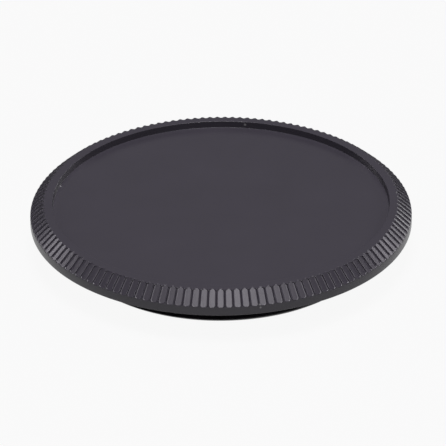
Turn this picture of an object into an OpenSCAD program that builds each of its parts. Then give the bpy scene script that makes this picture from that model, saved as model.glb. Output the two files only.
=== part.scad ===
// Screw-in cap that closes a camera body's lens opening, moulded in one piece.
// The origin is the middle of the collar's open end, and the face looks along +Z.

/* [Rim] */
// Diameter over the smooth band
rim_d = 53; // [51.5:0.5:58]
// Height of the rim, from its seat to the top of the ring
rim_h = 3; // [2.6:0.1:5]
// Radial run of the fluted bevel
bevel_run = 1.7; // [1.2:0.1:2]
// Drop of the fluted bevel
bevel_drop = 1.5; // [1:0.05:1.6]
// Radius of the shoulder that rounds the bevel into the smooth band
shoulder_r = 0.8; // [0.4:0.1:1]
// Thickness of the skirt behind the smooth band
skirt_wall = 1.4; // [1:0.1:2.4]

/* [Face] */
// Width of the flat ring between the bevel and the recess
ring_w = 1.4; // [1:0.1:4]
// Depth of the recessed face below the ring
recess_depth = 0.95; // [0.3:0.05:1.2]
// How far the recess wall leans in by the time it meets the face
recess_lean = 0.05; // [0:0.05:0.4]
// Thickness of the face
face_wall = 1.3; // [0.9:0.1:1.5]

/* [Grip flutes] */
// Number of flutes round the bevel
flute_count = 144; // [80:2:148]
// Width of a flute's flat floor
flute_floor = 0.66; // [0.3:0.02:0.7]
// Radius that rounds both sides of a flute's floor
flute_side_r = 0.22; // [0.1:0.01:0.24]
// Depth of a flute's floor below the bevel's surface
flute_depth = 0.2; // [0.1:0.01:0.26]

/* [Collar] */
// Outside diameter of the collar's screw thread
thread_d = 42; // [36:0.5:43]
// Length of the collar below the rim's seat
collar_h = 4.15; // [2.5:0.05:8]
// Thickness of the collar
collar_wall = 2.1; // [1.5:0.1:4]
// Lead-in chamfer at the collar's open end
lead_in = 0.25; // [0.1:0.05:0.8]
// Length of the plain neck between the seat and the thread
neck_h = 0.5; // [0.2:0.1:1]
// Depth of the neck below the thread's outside
neck_depth = 0.6; // [0.3:0.05:0.9]

/* [Edges] */
// Radius on both edges of the recess wall
recess_edge_r = 0.08; // [0.04:0.01:0.2]
// Radius on the rim's and the collar's lower edges
edge_r = 0.08; // [0.04:0.01:0.2]
// Radius in the corners inside the moulding
corner_r = 0.3; // [0.1:0.05:0.4]

/* [Hidden] */
// Colour of the plastic
cap_color = [0.2, 0.195, 0.215];
// Facets of the turned body
turn_facets = 360;
// Facets of a rounded corner, and of the wider shoulder
corner_facets = 3;
shoulder_facets = 5;
// Radii
rim_r = rim_d / 2;
bevel_r = rim_r - bevel_run;
skirt_r = rim_r - skirt_wall;
ring_inner_r = bevel_r - ring_w;
face_r = ring_inner_r - recess_lean;
thread_r = thread_d / 2;
neck_r = thread_r - neck_depth;
bore_r = thread_r - collar_wall;
// Heights above the collar's open end
seat_z = collar_h;
ring_z = seat_z + rim_h;
band_z = ring_z - bevel_drop;
face_z = ring_z - recess_depth;
inside_z = face_z - face_wall;
neck_z = seat_z - neck_h;
thread_z = neck_z - neck_depth / 2;
// The bevel's slope below level, its length, and the middle of its line
bevel_slope = atan2(bevel_drop, bevel_run);
bevel_length = norm([bevel_run, bevel_drop]);
bevel_mid = [(bevel_r + rim_r) / 2, (ring_z + band_z) / 2];
// Half the width of a flute's cutter, and its length, which overruns both ends of the bevel
flute_half = flute_floor / 2 + flute_side_r;
flute_length = bevel_length + 4 * flute_half;

// A vector of length one
function unit(v) = v / norm(v);

// A vector turned by an angle
function turned(v, angle) =
    [v.x * cos(angle) - v.y * sin(angle), v.x * sin(angle) + v.y * cos(angle)];

// The arc that rounds the corner at p, between neighbours a and b, to radius r
function rounded_corner(a, p, b, r, facets) =
    let (to_a = unit(a - p), to_b = unit(b - p))
    let (half = acos(to_a * to_b) / 2)
    let (centre = p + unit(to_a + to_b) * r / sin(half))
    let (spoke = p + to_a * r / tan(half) - centre)
    let (sweep = sign(cross(to_b, to_a)) * (180 - 2 * half))
    [for (i = [0 : facets]) centre + turned(spoke, sweep * i / facets)];

// An outline of points [x, y, radius], with each corner rounded to its radius
function rounded_outline(points) =
    let (last = len(points) - 1)
    let (flat = [for (p = points) [p.x, p.y]])
    [for (i = [0 : last])
        let (before = flat[i == 0 ? last : i - 1], after = flat[i == last ? 0 : i + 1], r = points[i].z)
        each r == 0
            ? [flat[i]]
            : rounded_corner(before, flat[i], after, r, r == shoulder_r ? shoulder_facets : corner_facets)];

// Half of the cap's section: the face, the ring, the rim, the channel, the collar and its bore
cap_section = rounded_outline([
    [0, face_z, 0],
    [face_r, face_z, recess_edge_r],
    [ring_inner_r, ring_z, recess_edge_r],
    [bevel_r, ring_z, 0],
    [rim_r, band_z, shoulder_r],
    [rim_r, seat_z, edge_r],
    [skirt_r, seat_z, edge_r],
    [skirt_r, inside_z, corner_r],
    [neck_r, inside_z, corner_r],
    [neck_r, neck_z, 0],
    [thread_r, thread_z, 0],
    [thread_r, lead_in, 0],
    [thread_r - lead_in, 0, 0],
    [bore_r, 0, edge_r],
    [bore_r, inside_z, corner_r],
    [0, inside_z, 0]
]);

// Section of a flute's cutter: X runs down into the moulding from the bevel's surface
flute_section = rounded_outline([
    [flute_depth, -flute_half, flute_side_r],
    [flute_depth, flute_half, flute_side_r],
    [-flute_half, flute_half, 0],
    [-flute_half, -flute_half, 0]
]);

// The moulding before its flutes
module turned_blank() {
    rotate_extrude($fn = turn_facets) polygon(cap_section);
}

// The cutter of the flute that faces -Y, lying along the bevel
module flute_cutter() {
    rotate([0, 0, -90])
        translate([bevel_mid.x, 0, bevel_mid.y])
            rotate([0, 90 + bevel_slope, 0])
                linear_extrude(flute_length, center = true) polygon(flute_section);
}

// The cap: one moulding, with its ring of fine flutes
module body_cap() {
    color(cap_color)
        difference() {
            turned_blank();
            for (i = [0 : flute_count - 1])
                rotate([0, 0, i * 360 / flute_count]) flute_cutter();
        }
}

body_cap();
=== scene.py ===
"""A screw-in body cap of matte black plastic, standing on its collar on a white studio table."""

import math

import bpy
import numpy as np
from mathutils import Euler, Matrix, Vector


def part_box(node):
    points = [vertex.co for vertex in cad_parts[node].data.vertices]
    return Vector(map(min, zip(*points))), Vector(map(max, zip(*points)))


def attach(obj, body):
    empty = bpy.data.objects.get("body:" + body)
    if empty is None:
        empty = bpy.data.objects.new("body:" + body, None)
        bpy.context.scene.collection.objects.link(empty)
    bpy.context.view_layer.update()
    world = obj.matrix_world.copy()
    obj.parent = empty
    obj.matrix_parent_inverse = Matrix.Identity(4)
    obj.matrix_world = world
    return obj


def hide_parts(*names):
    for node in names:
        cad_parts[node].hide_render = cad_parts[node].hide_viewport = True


MM = 0.001
TURN = 2 * math.pi

# Sizes that the frame gives, in millimetres
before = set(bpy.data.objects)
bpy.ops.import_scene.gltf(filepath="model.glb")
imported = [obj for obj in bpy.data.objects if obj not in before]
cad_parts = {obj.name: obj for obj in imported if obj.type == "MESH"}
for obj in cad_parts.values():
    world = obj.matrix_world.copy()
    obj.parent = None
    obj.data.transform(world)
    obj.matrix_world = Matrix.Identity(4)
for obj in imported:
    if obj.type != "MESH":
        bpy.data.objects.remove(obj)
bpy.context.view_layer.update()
box_low, box_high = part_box("body_cap")
RIM_R = (box_high.x - box_low.x) / 2 / MM
RING_Z = box_high.z / MM

# Sizes of the rim and the face, in millimetres
RIM_H = 3.0
BEVEL_RUN = 1.7
BEVEL_DROP = 1.5
SHOULDER_R = 0.8
SKIRT_WALL = 1.4
RING_W = 1.4
RECESS_DEPTH = 0.95
RECESS_LEAN = 0.05
FACE_WALL = 1.3
RECESS_EDGE_R = 0.05
RECESS_FOOT_R = 0.02
EDGE_R = 0.08
CORNER_R = 0.3

# Sizes of the flutes and of the softened edge round each of them: the half width of a flute's flat
# floor and of the whole flute, where the arch of its top meets the crests, below the bevel's top edge,
# and the radius of its U-shaped end
FLUTES = 144
FLUTE_DEPTH = 0.2
FLOOR_HALF = 0.475
GROOVE_HALF = 0.555
ARCH_TOP = 0.05
END_R = 0.5
FLUTE_EDGE = 0.02
FLUTE_EDGE_BED = 0.08

# Sizes of the collar and its right-hand thread
THREAD_R = 21.0
COLLAR_WALL = 2.1
LEAD_IN = 0.25
NECK_H = 0.5
NECK_DEPTH = 0.6
NECK_SLOPE = 2
PITCH = 1.0
CREST_RISE = -0.05
CREST_FLAT = 0.25
FLANK = 0.354

# Heights and radii that follow
SEAT_Z = RING_Z - RIM_H
BAND_Z = RING_Z - BEVEL_DROP
FACE_Z = RING_Z - RECESS_DEPTH
INSIDE_Z = FACE_Z - FACE_WALL
NECK_Z = SEAT_Z - NECK_H
BEVEL_R = RIM_R - BEVEL_RUN
RING_INNER_R = BEVEL_R - RING_W
FACE_R = RING_INNER_R - RECESS_LEAN
SKIRT_R = RIM_R - SKIRT_WALL
NECK_R = THREAD_R - NECK_DEPTH
BORE_R = THREAD_R - COLLAR_WALL
SLOPE = math.atan2(BEVEL_DROP, BEVEL_RUN)
FLUTE_ANGLE = TURN / FLUTES

# The plain outline that the flutes cut: a straight bevel, the shoulder's arc and the upright band
SHOULDER_TURN = math.pi / 2 - SLOPE
SHOULDER_SIDE = SHOULDER_R * math.tan(SHOULDER_TURN / 2)
STRAIGHT_BEVEL = math.hypot(BEVEL_RUN, BEVEL_DROP) - SHOULDER_SIDE
SHOULDER_Z = BAND_Z - SHOULDER_SIDE

# Half a flute's share of the way round, halfway down the bevel
CREST_HALF = FLUTE_ANGLE / 2 * (BEVEL_R + RIM_R) / 2

# Columns of the mesh round the plain turned parts, and rows down the thread
PLAIN_COLUMNS = 2 * FLUTES
THREAD_ROWS = 76
# Where the fine columns of the flutes end, on the ring and on the band
FINE_R = 24.2
FINE_Z = SEAT_Z + 0.95
# Rings of the plain outline that break up its long level stretches
FACE_RING_RADII = (3, 7, 11, 15, 18.5, 21, 22.8)
RING_RADII = (RING_INNER_R + 0.45, FINE_R - 0.1)
INSIDE_RING_RADII = (16.5, 13, 9, 5, 2)
# Where the plain outline starts again below the flutes, stops above the thread, starts again on the
# collar's end inside the thread's root, and leaves the bore's corner
BAND_START_Z = FINE_Z - 0.12
NECK_STOP_Z = NECK_Z + 0.04
FOOT_START_R = NECK_R - 0.2
BORE_STOP_R = BORE_R - 0.8


# Turned outlines


def unit(vector):
    """The vector at length one."""
    return vector / np.linalg.norm(vector)


def rounded_corner(before, corner, after, radius, steps=4):
    """Points on the arc that touches both sides of a corner: its centre lies on the bisector, at the
    radius over the sine of the half angle, and its spokes turn evenly from one side to the other."""
    to_before, to_after = unit(before - corner), unit(after - corner)
    half = math.acos(float(to_before @ to_after)) / 2
    centre = corner + unit(to_before + to_after) * radius / math.sin(half)
    spoke = corner + to_before * radius / math.tan(half) - centre
    side = to_after[0] * to_before[1] - to_after[1] * to_before[0]
    angles = np.sign(side) * (math.pi - 2 * half) * np.linspace(0, 1, steps + 1)
    cosines, sines = np.cos(angles), np.sin(angles)
    across = spoke[0] * cosines - spoke[1] * sines
    up = spoke[0] * sines + spoke[1] * cosines
    return centre + np.stack([across, up], 1)


def rounded_outline(points):
    """An open outline of (radius from the axis, height, corner radius), with its corners rounded."""
    flat = np.array([point[:2] for point in points], float)
    stretches = [flat[:1]]
    for i in range(1, len(points) - 1):
        corner_radius = points[i][2]
        sharp = corner_radius == 0
        stretches.append(flat[i : i + 1] if sharp else rounded_corner(*flat[i - 1 : i + 2], corner_radius))
    return np.concatenate(stretches + [flat[-1:]])


def plain_angles(columns):
    """Even angles round the axis, starting on the crest before the flute that faces -Y."""
    return -TURN / 4 - FLUTE_ANGLE / 2 + TURN * np.arange(columns) / columns


def rings_of(radii, heights, angles):
    """Points at radii and heights round the axis, as rows of x, y and z in millimetres."""
    radii, heights, angles = np.broadcast_arrays(radii, heights, angles)
    return np.stack([radii * np.cos(angles), radii * np.sin(angles), heights], -1)


def turned_rings(outline):
    """Each point of an outline carried round the axis, as one ring of coarse columns."""
    return list(rings_of(outline[:, :1], outline[:, 1:], plain_angles(PLAIN_COLUMNS)[None, :]))


# The fluted bevel

# The columns of one flute as distances aside from its middle, the crest first, and how deep the groove
# is at each: full on its flat floor, and falling to nothing up its rounded sides
SIDE = np.linspace(FLOOR_HALF, GROOVE_HALF, 6)
FLOOR = np.linspace(-FLOOR_HALF, FLOOR_HALF, 7)[1:-1]
ASIDES = np.concatenate([[-CREST_HALF], -SIDE[::-1], FLOOR, SIDE])
UP_SIDE = np.clip((np.abs(ASIDES) - FLOOR_HALF) / (GROOVE_HALF - FLOOR_HALF), 0, 1)
DEPTHS = FLUTE_DEPTH * (1 - UP_SIDE * UP_SIDE * (3 - 2 * UP_SIDE))
ACROSS = np.clip(np.abs(ASIDES) / GROOVE_HALF, 0, 1)
# Where the groove starts and ends along the bevel, as distances down it from the ring's edge. The start
# is an arch, from where the floor meets the ring's plane to a little below the edge at the crests. The
# end is a round U, or the place where the groove runs out through the shoulder if that comes first.
FLOOR_START = -FLUTE_DEPTH / math.tan(SLOPE)
STARTS = FLOOR_START + (ARCH_TOP - FLOOR_START) * (1 - np.cos(math.pi * ACROSS**1.25)) / 2
RUN_OUTS = STRAIGHT_BEVEL + np.sqrt(2 * SHOULDER_R * DEPTHS - DEPTHS**2)
ROUND_ENDS = RUN_OUTS.max() - END_R * (1 - np.sqrt(1 - ACROSS**2))
ENDS = np.minimum(ROUND_ENDS, RUN_OUTS)
FLUTE_COLUMNS = len(ASIDES)
COLUMN_ANGLES = FLUTE_ANGLE / 2 * ASIDES / CREST_HALF


def outline_point(length):
    """Radius and height at a length down the plain outline from the bevel's top: level on the ring where
    that is negative, then the straight bevel, the shoulder's arc and the upright band."""
    level = np.minimum(length, 0)
    on_bevel = np.clip(length, 0, STRAIGHT_BEVEL)
    tilt = SLOPE + np.clip((length - STRAIGHT_BEVEL) / SHOULDER_R, 0, SHOULDER_TURN)
    upright = np.maximum(length - STRAIGHT_BEVEL - SHOULDER_R * SHOULDER_TURN, 0)
    arc_out = SHOULDER_R * (np.sin(tilt) - math.sin(SLOPE))
    arc_down = SHOULDER_R * (math.cos(SLOPE) - np.cos(tilt))
    radii = BEVEL_R + level + on_bevel * math.cos(SLOPE) + arc_out
    heights = RING_Z - on_bevel * math.sin(SLOPE) - arc_down - upright
    return radii, heights


def length_at(along):
    """The length down the plain outline of its point at a distance along the bevel's direction."""
    past = np.clip((along - STRAIGHT_BEVEL) / SHOULDER_R, 0, math.sin(SHOULDER_TURN))
    on_arc = SHOULDER_R * (np.arcsin(past) - past)
    return np.where(along < 0, along / math.cos(SLOPE), along + on_arc)


def sunk_point(along, depth):
    """Radius and height of a point at a distance along the bevel and a depth square to it."""
    radii = BEVEL_R + along * math.cos(SLOPE) - depth * math.sin(SLOPE)
    heights = RING_Z - along * math.sin(SLOPE) - depth * math.cos(SLOPE)
    return radii, heights


def flute_row(radii, heights, evenness=0.0):
    """One ring of fine columns: the row of one flute, repeated round the axis, with its columns drawn
    towards even steps by evenness from 0 to 1."""
    even = -FLUTE_ANGLE / 2 + FLUTE_ANGLE * np.arange(FLUTE_COLUMNS) / FLUTE_COLUMNS
    angles = (1 - evenness) * COLUMN_ANGLES + evenness * even
    middles = -TURN / 4 + FLUTE_ANGLE * np.arange(FLUTES)
    radii, heights = np.broadcast_to(radii, angles.shape), np.broadcast_to(heights, angles.shape)
    return rings_of(radii[None, :], heights[None, :], angles[None, :] + middles[:, None]).reshape(-1, 3)


def groove_row(share, inset):
    """A ring across the grooves and crests, at a share of the way from the grooves' starts to their
    ends, kept inset from both."""
    first, last = STARTS + inset, ENDS - inset
    return flute_row(*sunk_point(first + share * (last - first), DEPTHS))


def outline_row(along, evenness=0.0):
    """A ring on the plain outline, at distances along the bevel's direction."""
    return flute_row(*outline_point(length_at(along)), evenness)


def band_row(share, evenness):
    """A ring below the grooves' ends, at a share of the way from there to the fine columns' end."""
    first = length_at(ENDS + FLUTE_EDGE_BED)
    last = STRAIGHT_BEVEL + SHOULDER_R * SHOULDER_TURN + SHOULDER_Z - FINE_Z
    return flute_row(*outline_point(first + share * (last - first)), evenness)


def fluted_rings():
    """The fine rings, from the ring's plane over the scalloped edge, down the flutes, over the U-shaped
    ends and on to the band."""
    return [
        flute_row(FINE_R, RING_Z, 1),
        outline_row(STARTS - 2 * FLUTE_EDGE_BED - np.maximum(STARTS, 0), 0.4),
        outline_row(np.minimum(STARTS - FLUTE_EDGE, 0) - FLUTE_EDGE),
        outline_row(STARTS - FLUTE_EDGE),
        groove_row(0, FLUTE_EDGE),
        groove_row(0, FLUTE_EDGE_BED),
        groove_row(1 / 3, FLUTE_EDGE_BED),
        groove_row(2 / 3, FLUTE_EDGE_BED),
        groove_row(1, FLUTE_EDGE_BED),
        groove_row(1, FLUTE_EDGE),
        outline_row(ENDS + FLUTE_EDGE),
        band_row(0, 0),
        band_row(0.2, 0.1),
        band_row(0.4, 0.3),
        band_row(0.7, 0.6),
        band_row(1, 1),
    ]


# The collar's thread


def thread_rings():
    """The collar's outside from the neck to its open end. The thread's height rises along a right-hand
    helix, one pitch a turn: full on the crest, falling down each flank, and nothing in the root. The
    crest's rise sets how far from the open end it passes the front. The neck's slope and the lead-in
    chamfer cut the thread off at its ends."""
    heights = np.linspace(NECK_Z, 0, THREAD_ROWS)[:, None]
    angles = plain_angles(PLAIN_COLUMNS)[None, :]
    phase = ((heights - CREST_RISE) / PITCH - angles / TURN) % 1
    from_crest = np.abs(phase - 0.5) * PITCH
    rise = np.clip((CREST_FLAT / 2 + FLANK - from_crest) / FLANK, 0, 1)
    rounded_rise = rise * rise * (3 - 2 * rise)
    thread = NECK_R + NECK_DEPTH * rounded_rise
    run_out = NECK_R + NECK_SLOPE * (NECK_Z - heights)
    chamfer = THREAD_R - LEAD_IN + heights
    radii = np.minimum(np.minimum(thread, run_out), chamfer)
    return list(rings_of(radii, heights, angles))


# Putting the mesh together


def sewn(rings):
    """Faces between rings of points: quads between rings of one count, a fan where a ring is one point,
    and one many-sided face for each coarse column where fine columns meet coarse ones."""
    faces, start = [], 0
    for ring, following in zip(rings, rings[1:]):
        n, m = len(ring), len(following)
        after = start + n
        if n == m:
            i = np.arange(n)
            j = (i + 1) % n
            quads = np.stack([start + i, after + i, after + j, start + j], 1)
        elif n == 1 or m == 1:
            i = np.arange(max(n, m))
            j = (i + 1) % max(n, m)
            point = np.full(len(i), start if n == 1 else after)
            quads = np.stack([point, after + i, after + j] if n == 1 else [point, start + j, start + i], 1)
        else:
            coarse, fine, step = min(n, m), max(n, m), max(n, m) // min(n, m)
            i = np.arange(coarse)
            j = (i + 1) % coarse
            run = (i[:, None] * step + np.arange(step + 1)[None, :]) % fine
            if n == coarse:
                corners = [(start + j)[:, None], (start + i)[:, None], after + run]
            else:
                corners = [(after + i)[:, None], (after + j)[:, None], (start + run)[:, ::-1]]
            quads = np.concatenate(corners, 1)
        faces += quads.tolist()
        start = after
    return faces


def cap_mesh():
    """The whole moulding as one closed skin: out over the face and the ring, down the flutes and the
    band, under the skirt, along the channel, down the thread and up the bore to the inside face."""
    face_rings = np.array([[radius, FACE_Z] for radius in FACE_RING_RADII])
    face = rounded_outline([
        (face_rings[-1][0], FACE_Z, 0),
        (FACE_R, FACE_Z, RECESS_FOOT_R),
        (RING_INNER_R, RING_Z, RECESS_EDGE_R),
        (RING_INNER_R + 2 * RECESS_EDGE_R, RING_Z, 0),
    ])
    ring_flat = np.array([[radius, RING_Z] for radius in RING_RADII])
    rim = rounded_outline([
        (RIM_R, BAND_START_Z, 0),
        (RIM_R, SEAT_Z, EDGE_R),
        (SKIRT_R, SEAT_Z, EDGE_R),
        (SKIRT_R, INSIDE_Z, CORNER_R),
        (NECK_R, INSIDE_Z, CORNER_R),
        (NECK_R, NECK_STOP_Z, 0),
    ])
    bore = rounded_outline([
        (FOOT_START_R, 0, 0),
        (BORE_R, 0, EDGE_R),
        (BORE_R, INSIDE_Z, CORNER_R),
        (BORE_STOP_R, INSIDE_Z, 0),
    ])
    inside_rings = np.array([[radius, INSIDE_Z] for radius in INSIDE_RING_RADII])
    rings = (
        [np.array([[0, 0, FACE_Z]])]
        + turned_rings(face_rings[:-1])
        + turned_rings(face)
        + turned_rings(ring_flat)
        + fluted_rings()
        + turned_rings(rim)
        + thread_rings()
        + turned_rings(bore)
        + turned_rings(inside_rings)
        + [np.array([[0, 0, INSIDE_Z]])]
    )
    mesh = bpy.data.meshes.new("cap_moulding")
    mesh.from_pydata(np.concatenate(rings) * MM, [], sewn(rings))
    mesh.shade_smooth()
    return mesh


# Materials

DARK_PLASTIC = (0.0282, 0.026, 0.0325, 1)
LIGHT_PLASTIC = (0.0338, 0.0312, 0.039, 1)
SPECK_GREY = (0.17, 0.17, 0.17, 1)
TABLE_WHITE = (0.965, 0.965, 0.965, 1)
TABLE_GREY = (0.4, 0.4, 0.4, 1)
# The share of the table's look that is plain white; the rest shows the cap's shadow
WHITE_SHARE = 0.96

# Noise scales per metre, and the height of the moulded texture in metres
CLOUD_SCALE = 160.0
GRAIN_SCALE = 5200.0
GRAIN_HEIGHT = 0.000006


class Shade:
    """A socket of a material's nodes that Python's operators work on: each operator adds a Math node."""

    def __init__(self, tree, socket=None):
        self.tree = tree
        self.socket = socket

    def add(self, kind, settings=None, inputs=None, output=0):
        """Adds a node of any kind: its settings are set first, then its sockets' values or links."""
        node = self.tree.nodes.new(kind)
        for name, value in (settings or {}).items():
            setattr(node, name, value)
        for name, value in (inputs or {}).items():
            if isinstance(value, Shade):
                self.tree.links.new(value.socket, node.inputs[name])
            else:
                node.inputs[name].default_value = value
        return Shade(self.tree, node.outputs[output] if node.outputs else None)

    def maths(self, operation, *values):
        return self.add("ShaderNodeMath", {"operation": operation}, dict(enumerate(values)))

    def __add__(self, other):
        return self.maths("ADD", self, other)

    def __rsub__(self, other):
        return self.maths("SUBTRACT", other, self)

    def __mul__(self, other):
        return self.maths("MULTIPLY", self, other)

    __radd__ = __add__
    __rmul__ = __mul__


# The pale specks and scuffs: the middle of each, and how far it reaches, in millimetres
SPECKS = {
    "back recess wall": ((3.4, 23.12, 6.72), 0.22),
    "left foot of the recess": ((-22.45, 6.1, 6.25), 0.2),
    "left end of a flute": ((-24.75, -4.6, 7.0), 0.18),
    "front chip in a flute's edge": ((-2.5, -24.75, 7.1), 0.22),
    "front fleck in a flute": ((5.8, -25.0, 6.45), 0.16),
    "top of the nick in the band": ((5.3, -25.97, 5.55), 0.2),
    "foot of the nick in the band": ((5.36, -25.96, 5.1), 0.18),
}


def in_speck(nodes, place, middle, reach):
    """How far a place lies inside a speck: twice its nearness to the end over the reach, held between 0
    and 1, so that it is 1 over the middle half and falls to 0 where the speck ends."""
    spot = tuple(coordinate * MM for coordinate in middle)
    away = nodes.add("ShaderNodeVectorMath", {"operation": "DISTANCE"}, {0: place, 1: spot}, output=1)
    nearness = 2 - away * (2 / (reach * MM))
    return nodes.maths("MINIMUM", nodes.maths("MAXIMUM", nearness, 0.0), 1.0)


def mixed_colour(nodes, share, first, second):
    """A colour on the way from the first to the second."""
    return nodes.add("ShaderNodeMix", {"data_type": "RGBA"}, {0: share, 6: first, 7: second}, output=2)


def cap_plastic():
    """Matte black moulded plastic with a violet tinge: a fine eroded texture all over, faint cloudy
    differences in its sheen, and a few pale specks."""
    material = bpy.data.materials.new("cap_plastic")
    material.use_nodes = True
    tree = material.node_tree
    tree.nodes.clear()
    nodes = Shade(tree)
    place = nodes.add("ShaderNodeTexCoord", output="Object")
    cloud = nodes.add("ShaderNodeTexNoise", inputs={"Vector": place, "Scale": CLOUD_SCALE, "Detail": 3.0})
    grain = nodes.add("ShaderNodeTexNoise", inputs={"Vector": place, "Scale": GRAIN_SCALE, "Detail": 2.0})
    texture = nodes.add(
        "ShaderNodeBump", inputs={"Height": grain, "Distance": GRAIN_HEIGHT, "Strength": 0.5}
    )
    specks = sum(in_speck(nodes, place, middle, reach) for middle, reach in SPECKS.values())
    plain = mixed_colour(nodes, cloud, DARK_PLASTIC, LIGHT_PLASTIC)
    specked = mixed_colour(nodes, specks, plain, SPECK_GREY)
    roughness = 0.28 + 0.08 * cloud
    plastic = nodes.add(
        "ShaderNodeBsdfPrincipled",
        inputs={"Base Color": specked, "Roughness": roughness, "IOR": 1.42, "Normal": texture},
    )
    nodes.add("ShaderNodeOutputMaterial", inputs={"Surface": plastic})
    return material


def table_white():
    """The white table. Seen directly or in a reflection it is mostly plain white, and it keeps a share of
    the cap's soft shadow. The light that it throws back on the cap is that of a plain grey top."""
    material = bpy.data.materials.new("table_white")
    material.use_nodes = True
    tree = material.node_tree
    tree.nodes.clear()
    nodes = Shade(tree)
    seen = nodes.add("ShaderNodeLightPath", output="Is Camera Ray")
    mirrored = nodes.add("ShaderNodeLightPath", output="Is Glossy Ray")
    through = nodes.add("ShaderNodeLightPath", output="Is Transmission Ray")
    white_share = WHITE_SHARE * (seen + mirrored + through)
    table = nodes.add("ShaderNodeBsdfDiffuse", inputs={"Color": TABLE_GREY})
    white = nodes.add("ShaderNodeEmission", inputs={"Color": TABLE_WHITE, "Strength": 1.0})
    both = nodes.add("ShaderNodeMixShader", inputs={0: white_share, 1: table, 2: white})
    nodes.add("ShaderNodeOutputMaterial", inputs={"Surface": both})
    return material


# The studio

# The table top's radius, and its drop below the cap's foot, in metres
TABLE_R = 4.0
TABLE_DROP = 0.00002
# How far the lamps stand from the cap, in metres
LAMP_DISTANCE = 0.9


def add_table():
    """A wide round table top under the cap, which isn't part of the object."""
    angles = np.linspace(0, TURN, 64, endpoint=False)
    rim = rings_of(TABLE_R, -TABLE_DROP, angles)
    mesh = bpy.data.meshes.new("table")
    mesh.from_pydata(rim, [], [list(range(len(rim)))])
    mesh.materials.append(table_white())
    table = bpy.data.objects.new("table", mesh)
    bpy.context.scene.collection.objects.link(table)


# A slightly violet white, for the softboxes and panels that light the face and the ring
SOFT_LIGHT = (0.975, 0.94, 1.0)


def add_lamp(name, azimuth, elevation, size, power, tint=(1, 1, 1)):
    """A square soft lamp that looks at the cap. Azimuth 0 is in front of it and 90 to its right, both
    angles are in degrees, the size is in metres and the power in watts."""
    turn, tilt = math.radians(azimuth), math.radians(elevation)
    away = Vector((math.sin(turn) * math.cos(tilt), -math.cos(turn) * math.cos(tilt), math.sin(tilt)))
    data = bpy.data.lights.new(name, "AREA")
    data.size, data.energy, data.color = size, power, tint
    lamp = bpy.data.objects.new(name, data)
    lamp.location = away * LAMP_DISTANCE
    lamp.rotation_euler = away.to_track_quat("Z", "Y").to_euler()
    bpy.context.scene.collection.objects.link(lamp)


def darken_world():
    """A black world, so that all light comes from the lamps and the table."""
    world = bpy.data.worlds.new("studio")
    bpy.context.scene.world = world
    world.use_nodes = True
    background = world.node_tree.nodes["Background"]
    background.inputs["Strength"].default_value = 0.0


# The photograph's camera: its distance in metres and its angles, where the middle of the ring's plane
# falls in pixels, and the pixels that a millimetre takes up there
PHOTO_SIZE = 446
RING_MIDDLE_X = 220.9
RING_MIDDLE_Y = 200.8
SIGHT_DISTANCE = 0.7254
SIGHT_ELEVATION = math.radians(29.0)
SIGHT_TURN = math.radians(0.25)
SIGHT_ROLL = math.radians(-0.384)
SENSOR = 36.0
SCALE_AT_RING = 7.207


def add_camera():
    """A long lens at the photograph's angle, aimed so that the ring's middle falls where it does there."""
    focal_pixels = SCALE_AT_RING * SIGHT_DISTANCE / MM
    data = bpy.data.cameras.new("camera")
    data.sensor_width = SENSOR
    data.lens = SENSOR * focal_pixels / PHOTO_SIZE
    data.clip_start, data.clip_end = 0.05, 20
    right_shift = (PHOTO_SIZE / 2 - RING_MIDDLE_X) / focal_pixels
    down_shift = (PHOTO_SIZE / 2 - RING_MIDDLE_Y) / focal_pixels
    sight = SIGHT_ELEVATION + math.atan(down_shift)
    camera = bpy.data.objects.new("camera", data)
    middle = Vector((0, 0, RING_Z * MM))
    turn = Euler((math.pi / 2 - sight, 0, SIGHT_TURN)).to_matrix()
    roll = Euler((0, 0, SIGHT_ROLL)).to_matrix()
    offset = roll @ Vector((right_shift, -down_shift, 0)) * SIGHT_DISTANCE
    camera.rotation_euler = (turn @ roll).to_euler()
    camera.location = middle + turn @ (offset + Vector((0, 0, SIGHT_DISTANCE)))
    bpy.context.scene.collection.objects.link(camera)
    bpy.context.scene.camera = camera


def add_cap():
    """The moulding, in the place of the plain CAD solid."""
    mesh = cap_mesh()
    mesh.materials.append(cap_plastic())
    cap = bpy.data.objects.new("cap_moulding", mesh)
    bpy.context.scene.collection.objects.link(cap)
    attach(cap, "root")
    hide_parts("body_cap")


add_cap()
add_table()
add_lamp("top_softbox", 0, 85, 0.35, 9.8, SOFT_LIGHT)
add_lamp("front_softbox", 2, 63, 0.3, 1.1, SOFT_LIGHT)
add_lamp("front_left_softbox", -40, 66, 0.25, 0.2, SOFT_LIGHT)
add_lamp("front_right_softbox", 45, 66, 0.25, 1.0, SOFT_LIGHT)
add_lamp("left_panel", -122, 27, 0.25, 1.4, SOFT_LIGHT)
add_lamp("right_panel", 122, 27, 0.25, 1.4, SOFT_LIGHT)
add_lamp("left_side_panel", -100, 10, 0.3, 0.05)
add_lamp("right_side_panel", 100, 10, 0.3, 0.2)
add_lamp("right_low_panel", 142, 13, 0.25, 1.0)
add_lamp("back_panel", 180, 30, 0.35, 0.09)
add_lamp("front_low_panel", 30, 30, 0.3, 0.35)
darken_world()
add_camera()

bpy.context.scene.view_settings.view_transform = "Standard"
